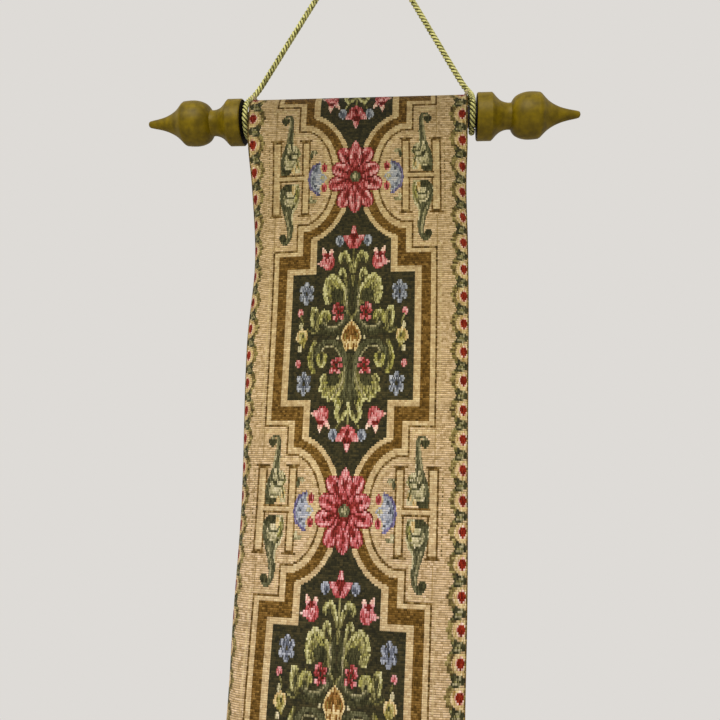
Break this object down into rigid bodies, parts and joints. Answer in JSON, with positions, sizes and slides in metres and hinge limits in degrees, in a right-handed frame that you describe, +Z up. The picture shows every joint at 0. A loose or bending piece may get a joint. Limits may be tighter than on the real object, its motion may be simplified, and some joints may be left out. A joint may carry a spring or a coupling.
{
  "type": "tapestry bell pull with wooden hanging rod",
  "caption": "Long narrow woven tapestry band folded over a wooden rod with turned finials, hung from a twisted cord loop.",
  "frame": {"origin": "underside of the cord at the top of its loop, where it bears on the wall hook", "axes": "+Z up along the hanging length, +X to the right of someone facing the woven front, -Y out of the woven front, away from the wall"},
  "size_m": [0.2432, 0.0291, 0.9182],
  "materials": {
    "tapestry_cloth": "ribbed woven tapestry with a floral and strapwork repeat",
    "dark_stained_wood": "dark stained, matt",
    "painted_wood": "old gold-green paint, satin",
    "twisted_cord": "gold and olive strands, slight lustre"
  },
  "bodies": {
    "root": {"tapestry_band": "tapestry_cloth", "hanging_rod": "dark_stained_wood", "finial_left": "painted_wood", "finial_right": "painted_wood", "hanging_cord": "twisted_cord"}
  },
  "joints": []
}
